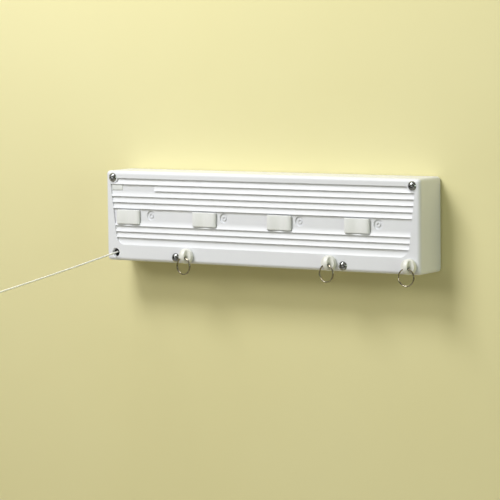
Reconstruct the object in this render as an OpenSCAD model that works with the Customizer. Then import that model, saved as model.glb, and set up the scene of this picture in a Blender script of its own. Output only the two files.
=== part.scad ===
// Wall-mounted clothesline with four spring-wound reels in one flat case.
// Millimetres. X runs along the wall, Z is up, the wall's face is the plane Y = 0 and the front
// faces -Y. The origin is the middle of the four wall screws, on the back face.
// Most pieces are drawn in a front frame, [across, up, depth from the wall], which front() turns
// into place.

/* [Case] */
// Width along the wall
case_w = 398; // [394:1:430]
// Height
case_h = 100; // [96:1:116]
// Depth from the wall to the front face
case_d = 45; // [42:0.5:54]
// Radius of the front's corners and edges
edge_r = 4; // [2.5:0.5:5]
// Thickness of the cover's sides
wall = 2.5; // [1.8:0.1:3]
// Thickness of the cover's front
front_t = 4.2; // [3.6:0.1:5]
// Thickness of the back plate
plate_t = 3; // [2:0.5:4]
// Gap between the cover's rim and the wall
rim_gap = 0.6; // [0.3:0.1:1.5]

/* [Ribbed front] */
// Height of the first step above the case's middle
first_rib = 41.9; // [39:0.1:43]
// Pitch of the ribs above the pads
upper_pitch = 6.7; // [6.2:0.1:7.1]
// Pitch of the ribs below the pads
lower_pitch = 6.6; // [6.1:0.1:7]
// Extra height of the lowest rib
last_extra = 1.7; // [0:0.1:2.4]
// Height of the plain band that the pads slide in
band_h = 19.2; // [18:0.2:21]
// Depth of each step
step_d = 1.8; // [1:0.1:2.2]
// Height of the cove under each step
cove_h = 6; // [4:0.2:6]
// Half width of the ribbed field at its top
field_half_w = 193.5; // [184:0.5:194]
// Radius of the field's bottom corners
field_r = 12; // [5:0.5:14]

/* [Reels] */
// Distance between neighbouring reels
reel_pitch = 96; // [84:0.5:100]
// Radius of the reel's flanges
flange_r = 36; // [32:0.5:40]
// Outer radius of the drum that the line winds on
drum_r = 20; // [16:0.5:22]
// Depth of the back of the reel from the wall
reel_back = 8; // [7:0.5:9]
// Width of the space for the line
line_room = 12.8; // [10:0.2:14]
// Radius of the fixed post
post_r = 5; // [4:0.1:6]
// Running clearance of the reel on its post
run_clear = 0.06; // [0.02:0.01:0.09]

/* [Line] */
// Diameter of the line
line_d = 2; // [1.5:0.1:2.5]
// Distance from a reel's axis to its outlet, sideways
outlet_dx = 42.8; // [40:0.2:45]
// Distance from the case's middle down to the outlets
outlet_drop = 41.2; // [38:0.2:42]
// Diameter of an outlet
outlet_d = 9; // [6:0.1:9.4]
// Slope of the line where it leaves the case, in degrees
line_dip = 7.4; // [4:0.2:9]
// Radius of the line's centre round the guide roller
guide_r = 6; // [5:0.1:6.5]

/* [Pullers] */
// Radius of the round stopper
stopper_r = 8.4; // [7.8:0.1:9]
// Length of the stopper's straight foot, before it rounds off
stopper_foot = 2.6; // [1.6:0.2:3.6]
// Depth of the stopper's solid base, under its two scoops
stopper_base = 5.2; // [4.6:0.1:5.6]
// Width of the web that the ring goes through
web_w = 5; // [4:0.1:5.6]
// Mean radius of the split ring
ring_r = 9.1; // [8.5:0.1:11]
// Thickness of the split ring's wire
ring_wire = 1.1; // [0.8:0.05:1.2]

/* [Locks] */
// Width of a thumb pad
pad_w = 31; // [28:0.5:34]
// Height of a thumb pad
pad_h = 15.8; // [12:0.2:16.6]
// Thickness of a thumb pad on either side of its dish
pad_t = 2.8; // [2.5:0.1:3.6]
// Depth of the dish in a thumb pad
pad_dish = 1.5; // [0.8:0.1:1.8]
// Travel of a thumb pad from locked to free
lock_travel = 5; // [3:0.5:6]

/* [Hidden] */
$fn = 48;
eps = 0.01;

// Gaps
loose = 0.3;
end_gap = 0.4;
plate_gap = 0.4;

// Places of the reels and outlets, numbered from the left
reel_x = [for (i = [0:3]) (i - 1.5) * reel_pitch];
side = [-1, -1, 1, 1];
outlet_x = [for (i = [0:3]) reel_x[i] + side[i] * outlet_dx];
outlet_h = -outlet_drop;

// Ribbed field
upper_ribs = 5;
lower_ribs = 3;
band_top = first_rib - upper_ribs * upper_pitch;
band_bottom = band_top - band_h;
field_bottom = band_bottom - lower_ribs * lower_pitch - last_extra;
field_lean = 0.1165;
field_floor = case_d - step_d;
field_past = 3;
head_room = 1.2;
cove_fn = 96;
cove_r = (cove_h * cove_h + step_d * step_d) / (2 * step_d);

// Blank label, and the plain recess it sits in
label_w = 14;
label_h = 6.3;
label_t = 0.7;
label_r = 0.8;
label_in = 9;
recess_len = 59;

// Chamfer round each outlet
outlet_chamfer = 0.6;
outlet_lead = 0.5;

// Screws that hold the cover
top_screw_in = 9.2;
top_screw_down = 7.6;
low_screw_in = 6.1;
low_screw_x = 106.4;
cover_screws_at = [
    [-case_w / 2 + top_screw_in, case_h / 2 - top_screw_down],
    [case_w / 2 - top_screw_in, case_h / 2 - top_screw_down],
    [-low_screw_x, -case_h / 2 + low_screw_in],
    [low_screw_x, -case_h / 2 + low_screw_in]
];
screw_r = 2;
screw_head_r = 5.1;
screw_head_t = 2.9;
screw_boss_r = 3.2;
screw_hole_r = 2.3;
screw_end = 18;
screw_spare = 2;

// Cross recess in a screw head, as shares of the head's radius and height
recess_span = 1.2;
recess_w = 0.24;
recess_deep = 0.65;

// Holes for the wall screws
wall_hole_r = 2.4;
wall_hole_x = 96;
wall_hole_h = 27;

// Reel, along its post from the wall outwards
flange_t = 1.6;
drum_t = 1.5;
drum_in = drum_r - drum_t;
line_back = reel_back + flange_t;
web_back = line_back + line_room;
web_front = web_back + flange_t;
hub_r = post_r + 2;
hub_front = web_front + 8.6;
brake_out = flange_r;
brake_in = flange_r - 2;
brake_front = web_front + 7;
post_foot_r = post_r + 4;
post_foot_front = reel_back - 0.6;
post_front = hub_front + end_gap;
washer_t = 1;
post_screw_r = 1.25;
post_screw_len = 10;
post_screw_head_r = 3;
post_screw_head_t = 1.7;
post_hole_back = post_front + washer_t - post_screw_len - screw_spare;
washer_r = hub_r + 0.6;
washer_fit = 0.25;
turns_across = floor(line_room / line_d);
turn_pitch = line_room / turns_across;
line_layers = 4;
layer_pitch = 0.9 * line_d;
wound_r = drum_r + line_d / 2 + (line_layers - 1) * layer_pitch;

// Mainspring
spring_t = 0.5;
spring_w = 11;
spring_turns = 6;
spring_in = post_r + loose;
spring_out = drum_in - 3 * loose;
spring_steps = 18;
spring_back = line_back + 0.8;
spring_cover_t = 1.2;
spring_cover_gap = 0.6;

// Path of the line from its reel to the outlet, seen in the guide's own frame
line_r = line_d / 2;
line_depth = line_back + turn_pitch * 2.5;
leave_r = wound_r + 2 * line_r + loose;
outlet_far = sqrt(outlet_dx * outlet_dx + outlet_drop * outlet_drop);
guide_lean = atan2(outlet_dx, outlet_drop) - asin(leave_r / outlet_far);
tangent_len = sqrt(outlet_far * outlet_far - leave_r * leave_r);
guide_depth = line_depth + guide_r;
guide_exit = guide_depth - guide_r * sin(line_dip);
guide_up = (case_d - guide_exit) * tan(line_dip) + guide_r * cos(line_dip);
run_end = case_d - 2;
roller_lip = 1.2;
roller_r = guide_r + roller_lip;
roller_w = 6;
roller_groove = line_r + loose;
pin_r = 1.5;
ear_gap = 0.5;
ear_in = roller_w / 2 + ear_gap;
ear_t = 2.7;
ear_low = 5;
ear_high = 4;
ear_front = guide_depth + 4;

// The first line's route outside the case, from its outlet: [out from the wall, up]
route = [[-1.6, 0.2], [20, -2.6], [60, -7.6], [110, -13.6], [160, -19.3], [210, -24.8], [250, -29]];
route_steps = 8;
bend_steps = 8;
cord_sides = 8;

// Puller
bore_clear = 0.05;
stopper_bore = 3.2;
ring_hole_r = ring_wire + 1;
ring_hole_d = stopper_base + 2.3;
ring_hole_h = -1.2;
ring_drop = 0.4;
ring_fn = 72;
scoop_r = 2.5;
puller_gap = 0.4;
coil_gap = ring_wire - 0.1;

// Lock, measured from the reel's axis when the pad is at its locked end
lock_x = -25.4;
lock_h = -1;
pad_gap = 1.1;
stem_w = 7;
stem_h = 6;
slot_end = 0.5;
slot_side = 0.35;
slide_w = 26;
slide_h = 12;
slide_t = 2;
shoe_out = brake_in - loose;
shoe_t = 3.7;
shoe_in = shoe_out - shoe_t;
shoe_back = web_front + 1.2;
shoe_angle = 14;
pad_back = field_floor + pad_gap;
slide_front = case_d - front_t - loose;
slide_back = slide_front - slide_t;
locked = [1, 0, 0, 0];
pad_edge_r = 0.8;
pad_end_r = 2.4;
pad_land = 5.5;
dish_fn = 200;

// Marks beside the pads
roundel_x = 4.3;
roundel_h = 1.2;
roundel_r = 5.4;
roundel_d = 1.2;
mark_out = 2.6;
mark_in = 1.5;
mark_low = 0.3;

// ---- frames ----

// Turns [across, up, depth] into place on the wall
module front() rotate([90, 0, 0]) children();

// The frame of reel i, on its axis
module at_reel(i) front() translate([reel_x[i], 0, 0]) children();

// The frame of guide i: its second axis points from the outlet along the line to the reel
module at_guide(i)
    front()
        translate([outlet_x[i], outlet_h, 0])
            mirror([side[i] > 0 ? 1 : 0, 0, 0])
                rotate([0, 0, -guide_lean])
                    children();

// ---- shared shapes ----

// A rectangle with round corners, from true circles
module rounded_rect(w, h, r) {
    square([w - 2 * r, h], center = true);
    square([w, h - 2 * r], center = true);
    for (sx = [-1, 1], sy = [-1, 1])
        translate([sx * (w / 2 - r), sy * (h / 2 - r)])
            circle(r);
}

// A block from depth d0 to d1 whose front corners and edges are round
module soft_block(w, h, d0, d1, r) {
    x = w / 2 - r;
    y = h / 2 - r;
    translate([0, 0, d0])
        linear_extrude(d1 - r - d0)
            rounded_rect(w, h, r);
    translate([-x, -y, d1 - r - eps])
        cube([2 * x, 2 * y, r + eps]);
    for (s = [-1, 1]) {
        translate([-x, s * y, d1 - r])
            rotate([0, 90, 0])
                cylinder(r = r, h = 2 * x);
        translate([s * x, -y, d1 - r])
            rotate([-90, 0, 0])
                cylinder(r = r, h = 2 * y);
        for (t = [-1, 1])
            translate([s * x, t * y, d1 - r])
                sphere(r);
    }
}

// A cross-recessed screw with a domed head: head face at depth 0, shank into the part
module screw(shank_r, shank_len, head_r, head_t) {
    dome_r = (head_r * head_r + head_t * head_t) / (2 * head_t);
    difference() {
        union() {
            translate([0, 0, -shank_len])
                cylinder(r = shank_r, h = shank_len + eps);
            rotate_extrude()
                intersection() {
                    square([head_r + 1, head_t + 1]);
                    translate([0, head_t - dome_r])
                        circle(dome_r);
                    translate([-head_r, 0])
                        square([2 * head_r, head_t + 1]);
                }
        }
        for (a = [45, 135])
            translate([0, 0, head_t])
                rotate([0, 0, a])
                    cube([
                        recess_span * head_r, recess_w * head_r, 2 * recess_deep * head_t
                    ], center = true);
    }
}

// ---- front cover ----

function field_half(h) = field_half_w - field_lean * (first_rib - h);

// Outline of the ribbed field: narrower towards its round bottom corners
module field_outline() {
    lean = atan(field_lean);
    ch = field_bottom + field_r;
    cx = field_half(ch) - field_r / cos(lean);
    tx = cx + field_r * cos(lean);
    th = ch - field_r * sin(lean);
    top = field_half(first_rib);
    difference() {
        union() {
            polygon([
                [-top, first_rib], [top, first_rib], [tx, th], [cx, ch], [cx, field_bottom],
                [-cx, field_bottom], [-cx, ch], [-tx, th]
            ]);
            for (s = [-1, 1])
                translate([s * cx, ch])
                    circle(field_r);
        }
        for (p = cover_screws_at)
            translate(p)
                circle(screw_head_r + head_room);
    }
}

// Air in front of one rib, from its step down to its lip, as [up, depth]
module rib_air(top, bottom) {
    bend = bottom + cove_h;
    translate([bend, field_floor])
        square([top - bend, step_d + 1]);
    intersection() {
        translate([bend, field_floor + cove_r])
            circle(cove_r, $fn = cove_fn);
        translate([bottom, field_floor])
            square([cove_h, step_d + 1]);
    }
}

// The profile [up, depth] drawn along X
module along_x(len)
    translate([-len / 2, 0, 0])
        rotate([90, 0, 90])
            linear_extrude(len)
                children();

module field_air() {
    intersection() {
        translate([0, 0, field_floor - 1])
            linear_extrude(step_d + field_past)
                field_outline();
        along_x(case_w) {
            for (i = [0:upper_ribs - 1])
                rib_air(first_rib - i * upper_pitch, first_rib - (i + 1) * upper_pitch);
            rib_air(band_top, band_bottom);
            for (i = [0:lower_ribs - 2])
                rib_air(band_bottom - i * lower_pitch, band_bottom - (i + 1) * lower_pitch);
            rib_air(band_bottom - (lower_ribs - 1) * lower_pitch, field_bottom);
        }
    }
    label_recess();
}

// Plain recess at the left end of the second rib, which the blank label sits in
module label_recess() {
    top = first_rib - upper_pitch;
    left = -field_half(top - upper_pitch);
    translate([left, top - upper_pitch - eps, field_floor])
        cube([recess_len - field_half_w - left, upper_pitch + eps, step_d + 1]);
}

module front_cover() {
    color("white")
        front()
            difference() {
                soft_block(case_w, case_h, rim_gap, case_d, edge_r);
                translate([0, 0, -1])
                    linear_extrude(case_d - front_t + 1)
                        rounded_rect(case_w - 2 * wall, case_h - 2 * wall, edge_r - wall);
                field_air();
                for (p = cover_screws_at)
                    translate([p[0], p[1], case_d - front_t - 1])
                        cylinder(r = screw_hole_r, h = front_t + 2);
                for (i = [0:3]) {
                    translate([outlet_x[i], outlet_h, case_d - front_t - 1])
                        cylinder(d = outlet_d, h = front_t + 2);
                    translate([outlet_x[i], outlet_h, case_d - outlet_lead])
                        cylinder(
                            d1 = outlet_d, d2 = outlet_d + 2 * outlet_chamfer, h = outlet_chamfer
                        );
                    translate([reel_x[i] + lock_x + lock_travel / 2, lock_h, case_d - front_t / 2])
                        cube([
                            stem_w + lock_travel + 2 * slot_end,
                            stem_h + 2 * slot_side,
                            front_t + 2
                        ], center = true);
                    translate([reel_x[i] + roundel_x, roundel_h, field_floor - roundel_d])
                        roundel_air();
                }
            }
}

// Round recess with a small raised ring left in its middle
module roundel_air() {
    difference() {
        cylinder(r = roundel_r, h = roundel_d + 1);
        difference() {
            translate([0, 0, -1])
                cylinder(r = mark_out, h = 1 + roundel_d - mark_low);
            translate([0, 0, -1])
                cylinder(r = mark_in, h = roundel_d + 2);
        }
    }
}

module blank_label() {
    top = first_rib - upper_pitch;
    color("gainsboro")
        front()
            translate([label_in - field_half_w, top - upper_pitch / 2, field_floor])
                linear_extrude(label_t)
                    rounded_rect(label_w, label_h, label_r);
}

// ---- back plate ----

module back_plate() {
    color("white") {
        front() {
            difference() {
                union() {
                    linear_extrude(plate_t)
                        rounded_rect(
                            case_w - 2 * wall - 2 * plate_gap,
                            case_h - 2 * wall - 2 * plate_gap,
                            edge_r - wall
                        );
                    for (p = cover_screws_at)
                        translate([p[0], p[1], 0])
                            cylinder(r = screw_boss_r, h = case_d - front_t);
                    for (i = [0:3])
                        translate([reel_x[i], 0, 0]) {
                            cylinder(r = post_foot_r, h = post_foot_front);
                            cylinder(r = post_r, h = post_front);
                        }
                }
                for (p = cover_screws_at)
                    translate([p[0], p[1], screw_end - screw_spare])
                        cylinder(r = screw_r, h = case_d);
                for (i = [0:3])
                    translate([reel_x[i], 0, post_hole_back])
                        cylinder(r = post_screw_r, h = case_d);
                for (sx = [-1, 1], sy = [-1, 1])
                    translate([sx * wall_hole_x, sy * wall_hole_h, -1])
                        cylinder(r = wall_hole_r, h = plate_t + 2);
            }
        }
        for (i = [0:3])
            guide_bracket(i);
    }
}

// Two ears that hold a guide roller's pin
module guide_bracket(i) {
    at_guide(i)
        difference() {
            for (s = [-1, 1])
                translate([s * (ear_in + ear_t / 2) - ear_t / 2, guide_up - ear_low, plate_t - 1])
                    cube([ear_t, ear_low + ear_high, ear_front - plate_t + 1]);
            translate([0, guide_up, guide_depth])
                rotate([0, 90, 0])
                    cylinder(r = pin_r, h = 4 * ear_in, center = true);
        }
}

module cover_screws() {
    color("silver")
        front()
            for (p = cover_screws_at)
                translate([p[0], p[1], case_d])
                    screw(screw_r, case_d - screw_end, screw_head_r, screw_head_t);
}

// ---- reels ----

module spool(i) {
    color("whitesmoke")
        at_reel(i)
            rotate_extrude() {
                // rear flange
                translate([drum_in, reel_back])
                    square([flange_r - drum_in, flange_t]);
                // drum
                translate([drum_in, reel_back])
                    square([drum_t, web_front - reel_back]);
                // front flange, which closes the drum
                translate([post_r + run_clear, web_back])
                    square([flange_r - post_r - run_clear, flange_t]);
                // bearing
                translate([post_r + run_clear, web_back])
                    square([hub_r - post_r - run_clear, hub_front - web_back]);
                // brake rim
                translate([brake_in, web_back])
                    square([brake_out - brake_in, brake_front - web_back]);
            }
}

module wound_line(i) {
    color("white")
        at_reel(i)
            rotate_extrude() {
                translate([drum_r, line_back + turn_pitch / 2])
                    square([wound_r - drum_r, line_room - turn_pitch]);
                for (k = [0:turns_across - 1])
                    translate([wound_r, line_back + turn_pitch * (k + 0.5)])
                        circle(line_r);
            }
}

function spiral(a, r0, gain) = [(r0 + gain * a / 360) * cos(a), (r0 + gain * a / 360) * sin(a)];

module mainspring(i) {
    gain = (spring_out - spring_in - spring_t) / spring_turns;
    n = spring_turns * spring_steps;
    inner = [for (k = [0:n]) spiral(k * 360 / spring_steps, spring_in, gain)];
    outer = [for (k = [n:-1:0]) spiral(k * 360 / spring_steps, spring_in + spring_t, gain)];
    color("lightsteelblue")
        at_reel(i)
            translate([0, 0, spring_back])
                linear_extrude(spring_w)
                    polygon(concat(inner, outer));
}

module spring_cover(i) {
    color("gainsboro")
        at_reel(i)
            translate([0, 0, reel_back])
                difference() {
                    cylinder(r = drum_in, h = spring_cover_t);
                    translate([0, 0, -1])
                        cylinder(r = post_r + spring_cover_gap, h = spring_cover_t + 2);
                }
}

module reel_washers() {
    color("silver")
        for (i = [0:3])
            at_reel(i)
                translate([0, 0, post_front])
                    difference() {
                        cylinder(r = washer_r, h = washer_t);
                        translate([0, 0, -1])
                            cylinder(r = post_screw_r + washer_fit, h = washer_t + 2);
                    }
}

module reel_screws() {
    color("silver")
        for (i = [0:3])
            at_reel(i)
                translate([0, 0, post_front + washer_t])
                    screw(
                        post_screw_r, post_screw_len, post_screw_head_r, post_screw_head_t
                    );
}

// ---- guides ----

module guide_roller(i) {
    color("whitesmoke")
        at_guide(i)
            translate([-roller_w / 2, guide_up, guide_depth])
                rotate([0, 90, 0])
                    rotate_extrude()
                        difference() {
                            translate([pin_r + run_clear, 0])
                                square([roller_r - pin_r - run_clear, roller_w]);
                            translate([guide_r, roller_w / 2])
                                circle(roller_groove);
                            translate([guide_r, roller_w / 2 - roller_groove])
                                square([roller_r, 2 * roller_groove]);
                        }
}

module guide_pins() {
    color("silver")
        for (i = [0:3])
            at_guide(i)
                translate([0, guide_up, guide_depth])
                    rotate([0, 90, 0])
                        cylinder(r = pin_r, h = 2 * (ear_in + ear_t), center = true);
}

// ---- line ----

// A tube of line along a path of [depth, up] points in one upright plane
function slope(path, k) =
    let (a = path[max(0, k - 1)], b = path[min(len(path) - 1, k + 1)])
        atan2(b[1] - a[1], b[0] - a[0]);

// One ring of the tube's points, square to the path
function ring_points(path, k) = [
    for (j = [0:cord_sides - 1])
        let (a = 360 * (j + 0.5) / cord_sides, s = line_r * sin(a))
            [
                line_r * cos(a),
                path[k][1] + s * cos(slope(path, k)),
                path[k][0] - s * sin(slope(path, k))
            ]
];

module tube(path) {
    n = cord_sides;
    last = len(path) - 1;
    points = [for (k = [0:last]) each ring_points(path, k)];
    sides = [
        for (k = [0:last - 1], j = [0:n - 1])
            [k * n + j, (k + 1) * n + j, (k + 1) * n + (j + 1) % n, k * n + (j + 1) % n]
    ];
    near = [for (j = [0:n - 1]) j];
    far = [for (j = [n - 1:-1:0]) last * n + j];
    polyhedron(points, concat(sides, [near, far]));
}

// From the reel down to the roller, round it and forwards to the outlet
inside_path = concat(
    [[line_depth, tangent_len]],
    [
        for (k = [0:bend_steps])
            let (a = k * (90 - line_dip) / bend_steps)
                [guide_depth - guide_r * cos(a), guide_up - guide_r * sin(a)]
    ],
    [[run_end, (case_d - run_end) * tan(line_dip)]]
);

module line_inside(i) {
    color("white")
        at_guide(i)
            tube(inside_path);
}

// A short end of line from inside the outlet into the stopper
module line_stub(i) {
    color("white")
        front()
            translate([outlet_x[i], outlet_h, run_end + end_gap])
                cylinder(r = line_r, h = case_d + puller_gap + stopper_bore - run_end - end_gap);
}

// Smooth curve through the route's points: point k, share t of the way to the next
function pick(k) = route[max(0, min(len(route) - 1, k))];
function curve(k, t) =
    0.5 * (2 * pick(k) + (pick(k + 1) - pick(k - 1)) * t
        + (2 * pick(k - 1) - 5 * pick(k) + 4 * pick(k + 1) - pick(k + 2)) * t * t
        + (3 * pick(k) - pick(k - 1) - 3 * pick(k + 1) + pick(k + 2)) * t * t * t);
outside_path = [
    for (k = [0:len(route) - 2], s = [0:route_steps - 1]) curve(k, s / route_steps),
    route[len(route) - 1]
];

module line_1_outside() {
    color("white")
        front()
            translate([outlet_x[0], outlet_h, case_d])
                tube(outside_path);
}

// ---- pullers ----

// Where a stopper's back face sits: [across, up, depth, tilt]
route_end = route[len(route) - 1];
end_tilt = -slope(outside_path, len(outside_path) - 1);
end_up = outlet_h + route_end[1] + stopper_bore * sin(end_tilt);
end_depth = case_d + route_end[0] - stopper_bore * cos(end_tilt);
function puller_at(i) =
    i == 0 ? [outlet_x[0], end_up, end_depth, end_tilt]
    : [outlet_x[i], outlet_h, case_d + puller_gap, 0];

module at_puller(i) {
    p = puller_at(i);
    front()
        translate([p[0], p[1], p[2]])
            rotate([p[3], 0, 0])
                children();
}

// Round-nosed knob, scooped on both sides of a web with a cross hole for the ring
module stopper(i) {
    color("ivory")
        at_puller(i)
            difference() {
                union() {
                    cylinder(r = stopper_r, h = stopper_foot);
                    translate([0, 0, stopper_foot])
                        intersection() {
                            sphere(stopper_r);
                            translate([0, 0, -eps])
                                cylinder(r = 2 * stopper_r, h = 2 * stopper_r);
                        }
                }
                for (s = [-1, 1]) {
                    translate([s * (stopper_r + web_w / 2 + scoop_r), 0, stopper_base + stopper_r])
                        cube(2 * stopper_r, center = true);
                    translate([
                        s * (stopper_r + web_w / 2), 0, stopper_base + scoop_r + stopper_r
                    ])
                        cube(2 * stopper_r, center = true);
                    translate([s * (web_w / 2 + scoop_r), 0, stopper_base + scoop_r])
                        rotate([90, 0, 0])
                            cylinder(r = scoop_r, h = 3 * stopper_r, center = true);
                }
                translate([0, ring_hole_h, ring_hole_d])
                    rotate([0, 90, 0])
                        cylinder(r = ring_hole_r, h = 3 * stopper_r, center = true);
                translate([0, 0, -1])
                    cylinder(r = line_r + bore_clear, h = stopper_bore + 1);
            }
}

// Where a ring hangs in its web: [across, up, depth]
function ring_at(i) =
    let (p = puller_at(i), h = ring_hole_h - ring_drop, d = ring_hole_d)
        [p[0], p[1] + h * cos(p[3]) - d * sin(p[3]), p[2] + h * sin(p[3]) + d * cos(p[3])];

// Two close coils of wire, hanging straight down from the web
module split_ring(i) {
    color("silver")
        front()
            translate(ring_at(i))
                translate([0, -ring_r, 0])
                    rotate_extrude($fn = ring_fn)
                        for (s = [-1, 1])
                            translate([ring_r, s * coil_gap / 2])
                                circle(ring_wire / 2);
}

// ---- locks ----

function pad_x(i) = reel_x[i] + lock_x + (locked[i] == 1 ? 0 : lock_travel);

// A thumb pad's outline seen along the case's height, [across, depth]: both ends rounded off
module pad_outline() {
    translate([-pad_w / 2, -1])
        square([pad_w, pad_t - pad_end_r + 1]);
    translate([pad_end_r - pad_w / 2, -1])
        square([pad_w - 2 * pad_end_r, pad_t + 1]);
    for (s = [-1, 1])
        translate([s * (pad_w / 2 - pad_end_r), pad_t - pad_end_r])
            circle(pad_end_r);
}

// Thumb pad with a dish in its middle, and the stem that goes through the cover
module thumb_pad(i) {
    dish_half = pad_w / 2 - pad_land;
    dish_r = (dish_half * dish_half + pad_dish * pad_dish) / (2 * pad_dish);
    pad_front = pad_back + pad_t;
    color("ivory")
        front()
            translate([pad_x(i), lock_h, 0]) {
                difference() {
                    intersection() {
                        soft_block(pad_w + 2 * pad_end_r, pad_h, pad_back, pad_front, pad_edge_r);
                        translate([0, pad_h, pad_back])
                            rotate([90, 0, 0])
                                linear_extrude(2 * pad_h)
                                    pad_outline();
                    }
                    translate([0, 0, pad_front - pad_dish + dish_r])
                        rotate([90, 0, 0])
                            cylinder(r = dish_r, h = 2 * pad_h, center = true, $fn = dish_fn);
                }
                translate([-stem_w / 2, -stem_h / 2, slide_back])
                    cube([stem_w, stem_h, pad_back - slide_back + eps]);
            }
}

// Slide behind the cover, with a brake shoe that reaches back inside the reel's rim
module brake_slide(i) {
    shift = pad_x(i) - lock_x;
    color("gainsboro")
        front() {
            translate([pad_x(i), lock_h, slide_back])
                linear_extrude(slide_t)
                    difference() {
                        square([slide_w, slide_h], center = true);
                        square([stem_w, stem_h], center = true);
                    }
            translate([shift, 0, shoe_back])
                linear_extrude(slide_front - shoe_back)
                    intersection() {
                        difference() {
                            circle(shoe_out);
                            circle(shoe_in);
                        }
                        polygon([
                            [0, 0],
                            [-2 * shoe_out, 2 * shoe_out * tan(shoe_angle)],
                            [-2 * shoe_out, -2 * shoe_out * tan(shoe_angle)]
                        ]);
                    }
        }
}

// ---- named pieces ----

module reel_1_spool() spool(0);
module reel_2_spool() spool(1);
module reel_3_spool() spool(2);
module reel_4_spool() spool(3);
module reel_1_wound_line() wound_line(0);
module reel_2_wound_line() wound_line(1);
module reel_3_wound_line() wound_line(2);
module reel_4_wound_line() wound_line(3);
module reel_1_mainspring() mainspring(0);
module reel_2_mainspring() mainspring(1);
module reel_3_mainspring() mainspring(2);
module reel_4_mainspring() mainspring(3);
module reel_1_spring_cover() spring_cover(0);
module reel_2_spring_cover() spring_cover(1);
module reel_3_spring_cover() spring_cover(2);
module reel_4_spring_cover() spring_cover(3);
module guide_1_roller() guide_roller(0);
module guide_2_roller() guide_roller(1);
module guide_3_roller() guide_roller(2);
module guide_4_roller() guide_roller(3);
module line_1_inside() line_inside(0);
module line_2_inside() line_inside(1);
module line_3_inside() line_inside(2);
module line_4_inside() line_inside(3);
module line_2_outside() line_stub(1);
module line_3_outside() line_stub(2);
module line_4_outside() line_stub(3);
module puller_1_stopper() stopper(0);
module puller_2_stopper() stopper(1);
module puller_3_stopper() stopper(2);
module puller_4_stopper() stopper(3);
module puller_1_split_ring() split_ring(0);
module puller_2_split_ring() split_ring(1);
module puller_3_split_ring() split_ring(2);
module puller_4_split_ring() split_ring(3);
module lock_1_thumb_pad() thumb_pad(0);
module lock_2_thumb_pad() thumb_pad(1);
module lock_3_thumb_pad() thumb_pad(2);
module lock_4_thumb_pad() thumb_pad(3);
module lock_1_brake_slide() brake_slide(0);
module lock_2_brake_slide() brake_slide(1);
module lock_3_brake_slide() brake_slide(2);
module lock_4_brake_slide() brake_slide(3);

front_cover();
back_plate();
cover_screws();
blank_label();
reel_1_spool();
reel_2_spool();
reel_3_spool();
reel_4_spool();
reel_1_wound_line();
reel_2_wound_line();
reel_3_wound_line();
reel_4_wound_line();
reel_1_mainspring();
reel_2_mainspring();
reel_3_mainspring();
reel_4_mainspring();
reel_1_spring_cover();
reel_2_spring_cover();
reel_3_spring_cover();
reel_4_spring_cover();
reel_washers();
reel_screws();
guide_1_roller();
guide_2_roller();
guide_3_roller();
guide_4_roller();
guide_pins();
line_1_inside();
line_2_inside();
line_3_inside();
line_4_inside();
line_1_outside();
line_2_outside();
line_3_outside();
line_4_outside();
puller_1_stopper();
puller_2_stopper();
puller_3_stopper();
puller_4_stopper();
puller_1_split_ring();
puller_2_split_ring();
puller_3_split_ring();
puller_4_split_ring();
lock_1_thumb_pad();
lock_2_thumb_pad();
lock_3_thumb_pad();
lock_4_thumb_pad();
lock_1_brake_slide();
lock_2_brake_slide();
lock_3_brake_slide();
lock_4_brake_slide();
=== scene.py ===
"""Wall-mounted clothesline with four spring-wound lines: its finishes, its new pieces and its studio.

Laid out as an add-on and run as a script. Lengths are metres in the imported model's own frame: X along
the wall, Z up, the wall at Y = 0 and the front towards -Y.
"""

import math

import bmesh
import bpy
import numpy as np
from bpy.props import FloatProperty, FloatVectorProperty, IntProperty, PointerProperty
from mathutils import Matrix, Vector


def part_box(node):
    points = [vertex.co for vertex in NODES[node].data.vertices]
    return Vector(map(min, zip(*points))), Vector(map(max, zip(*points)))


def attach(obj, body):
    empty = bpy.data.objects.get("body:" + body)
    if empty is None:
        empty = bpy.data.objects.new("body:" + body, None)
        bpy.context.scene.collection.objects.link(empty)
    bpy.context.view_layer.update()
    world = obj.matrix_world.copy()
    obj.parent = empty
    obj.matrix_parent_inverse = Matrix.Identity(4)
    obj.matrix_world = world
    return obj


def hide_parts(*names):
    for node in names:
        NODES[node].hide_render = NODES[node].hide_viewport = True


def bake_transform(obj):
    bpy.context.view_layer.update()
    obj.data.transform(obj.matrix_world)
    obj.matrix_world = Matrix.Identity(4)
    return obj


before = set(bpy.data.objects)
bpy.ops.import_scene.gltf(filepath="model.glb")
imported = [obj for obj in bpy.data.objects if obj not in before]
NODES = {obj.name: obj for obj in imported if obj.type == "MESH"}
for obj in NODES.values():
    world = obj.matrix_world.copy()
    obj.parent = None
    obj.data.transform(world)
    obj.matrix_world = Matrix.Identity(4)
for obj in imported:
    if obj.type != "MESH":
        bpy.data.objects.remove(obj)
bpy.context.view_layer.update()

bl_info = {
    "name": "Four-Line Retractable Clothesline",
    "version": (1, 0, 0),
    "blender": (4, 5, 0),
    "location": "3D View > Sidebar > Clothesline",
    "description": "Finishes, lines, rings, screws and studio for a wall clothesline",
    "category": "Object",
}

UNITS = (1, 2, 3, 4)
MM = 0.001

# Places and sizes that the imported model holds, in millimetres
REEL_PITCH = 96.0
REEL_X = [(unit - 2.5) * REEL_PITCH for unit in UNITS]
SIDE = [-1, -1, 1, 1]
OUTLET_DX, OUTLET_UP = 42.8, -41.2
OUTLET_X = [REEL_X[i] + SIDE[i] * OUTLET_DX for i in range(4)]
CASE_DEPTH = 45.0
LINE_DIP = math.radians(7.4)
DRUM_R, LINE_BACK, LINE_ROOM, LINE_TURNS = 20.0, 9.6, 12.8, 6
TURN_PITCH = LINE_ROOM / LINE_TURNS
WOUND_R = 26.4
LINE_D, LOOSE = 2.0, 0.3
GUIDE_R = 6.0
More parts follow.
